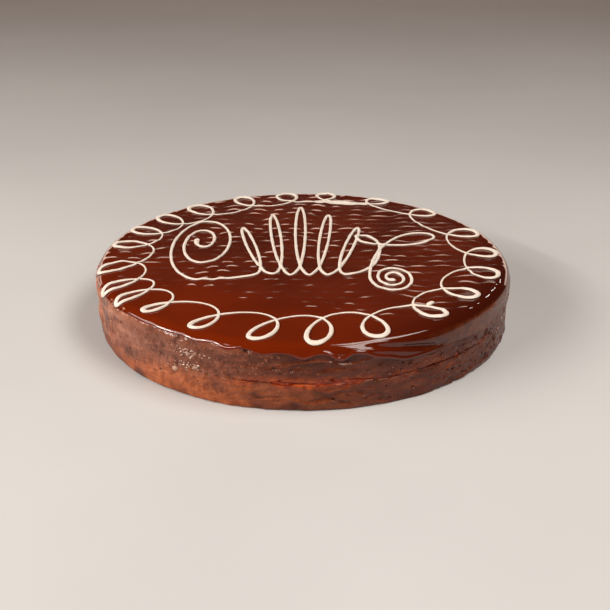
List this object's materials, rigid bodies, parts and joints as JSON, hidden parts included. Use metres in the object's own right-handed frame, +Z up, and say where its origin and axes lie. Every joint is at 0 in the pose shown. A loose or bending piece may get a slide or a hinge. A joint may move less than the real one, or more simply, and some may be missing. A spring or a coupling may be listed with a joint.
{
  "type": "sachertorte cake",
  "caption": "Whole round chocolate torte with a poured chocolate glaze, a jam seam, and a looped border and flourish piped in white icing.",
  "frame": {"origin": "centre of the flat underside, on the surface that the cake rests on", "axes": "+Z up, out of the glazed top; the front of the cake, where the piped flourish reads upright, faces -Y"},
  "size_m": [0.28, 0.28, 0.0443],
  "materials": {
    "coated_sponge": "satin",
    "jam": "gloss",
    "chocolate": "gloss",
    "icing": "satin"
  },
  "bodies": {
    "root": {"lower_sponge": "coated_sponge", "jam_filling": "jam", "upper_sponge": "coated_sponge", "chocolate_glaze": "chocolate", "loop_border": "icing", "centre_flourish": "icing"}
  },
  "joints": []
}
